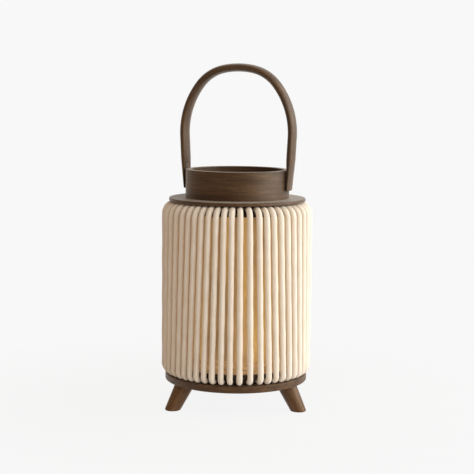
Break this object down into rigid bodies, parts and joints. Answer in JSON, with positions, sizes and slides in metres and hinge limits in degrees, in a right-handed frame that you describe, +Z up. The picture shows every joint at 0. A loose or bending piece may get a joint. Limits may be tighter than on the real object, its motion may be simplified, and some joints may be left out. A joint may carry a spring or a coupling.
{
  "type": "lantern table lamp",
  "caption": "Lantern table lamp: rope-clad drum on splayed round legs, open wooden collar and a swinging bail handle.",
  "frame": {"origin": "on the lamp's axis, on the surface that the three feet stand on", "axes": "+Z up the lamp's axis; the handle's pivots lie along X; the picture's camera stands 72 degrees clockwise of +X seen from above"},
  "size_m": [0.1629, 0.1608, 0.3633],
  "materials": {
    "dark_wood": "satin",
    "pale_wood": "satin",
    "cotton_rope": "matte",
    "diffuser_paper": "satin",
    "steel": "satin",
    "brass": "satin",
    "bronze_screw": "satin",
    "white_plastic": "matte",
    "black_plastic": "matte",
    "opal_plastic": "satin",
    "aluminium": "satin",
    "white_board": "satin",
    "green_board": "satin",
    "led_yellow": "gloss",
    "cell_wrap": "satin",
    "nickel": "gloss",
    "grey_rubber": "matte",
    "red_lead": "satin"
  },
  "bodies": {
    "lamp": {"leg_1": "dark_wood", "leg_2": "dark_wood", "leg_3": "dark_wood", "leg_studs": "steel", "base_disc": "dark_wood", "lower_hoop": "dark_wood", "seat_ring": "pale_wood", "diffuser": "diffuser_paper", "upper_hoop": "dark_wood", "rope_strands_1": "cotton_rope", "rope_strands_2": "cotton_rope", "rope_strands_3": "cotton_rope", "rope_strands_4": "cotton_rope", "tie_rods": "steel", "lower_tie_screws": "steel", "upper_tie_screws": "steel", "top_disc": "dark_wood", "collar": "dark_wood", "collar_screws": "steel", "pivot_washers": "bronze_screw", "pivot_spacers": "bronze_screw", "module_housing": "white_plastic", "module_screws": "steel", "bottom_cover": "black_plastic", "cover_screws": "steel", "led_plate": "aluminium", "led_board": "white_board", "leds": "led_yellow", "light_dome": "opal_plastic", "dome_screws": "steel", "driver_board": "green_board", "battery_cradle": "white_plastic", "battery_cell": "cell_wrap", "cell_contacts": "nickel", "switch_body": "black_plastic", "button_spring": "steel", "charging_socket": "nickel", "socket_tongue": "black_plastic", "led_lead": "red_lead", "cell_lead": "red_lead"},
    "handle": {"handle_strap": "dark_wood", "pivot_inserts": "brass", "pivot_screws": "bronze_screw"},
    "button": {"button_cap": "grey_rubber", "switch_plunger": "black_plastic"}
  },
  "joints": [
    {"name": "handle_hinge", "type": "hinge", "parent": "lamp", "child": "handle", "pos_m": [0, 0, 0.2414], "axis": [1, 0, 0], "range_deg": [-95, 95]},
    {"name": "button_press", "type": "slide", "parent": "lamp", "child": "button", "axis": [0, 0, 1], "range_m": [0, 0.0008], "stiffness_N_per_m": 400, "springref_m": -0.0015, "deforming": ["button_spring"]}
  ]
}
